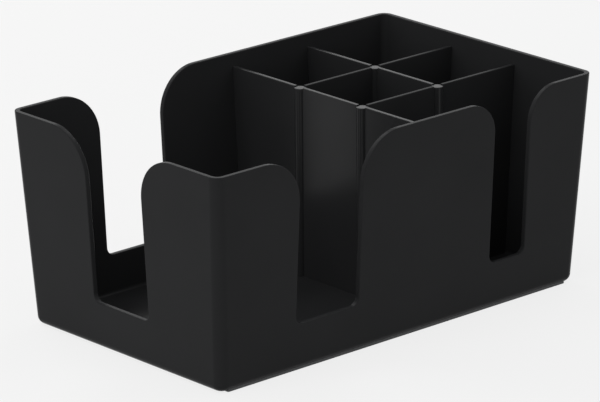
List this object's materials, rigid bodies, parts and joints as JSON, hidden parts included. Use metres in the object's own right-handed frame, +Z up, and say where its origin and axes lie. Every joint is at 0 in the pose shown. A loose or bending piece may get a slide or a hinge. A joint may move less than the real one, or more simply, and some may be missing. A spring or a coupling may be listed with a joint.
{
  "type": "bar caddy",
  "caption": "Open bar caddy with a napkin bay, finger notches, divided cells and a long straw row, standing on foot strips.",
  "frame": {"origin": "on the ground under the middle of the tub", "axes": "+X along the length away from the napkin bay, -Y the side with the straw notch, +Z up"},
  "size_m": [0.24, 0.1462, 0.1058],
  "materials": {
    "tub_plastic": "satin moulded black",
    "divider_plastic": "satin moulded black",
    "strip_rubber": "matt dark grey"
  },
  "bodies": {
    "root": {"tub": "tub_plastic", "bay_divider_rear": "divider_plastic", "bay_divider_middle": "divider_plastic", "bay_divider_front": "divider_plastic", "cell_divider_rear": "divider_plastic", "cell_divider_middle": "divider_plastic", "long_divider_rear_inner": "divider_plastic", "long_divider_rear_end": "divider_plastic", "long_divider_front_inner": "divider_plastic", "long_divider_front_end": "divider_plastic", "post_bay_rear": "divider_plastic", "post_bay_front": "divider_plastic", "post_cell_rear": "divider_plastic", "post_cell_front": "divider_plastic", "foot_strip_front": "strip_rubber", "foot_strip_rear": "strip_rubber"}
  },
  "joints": []
}
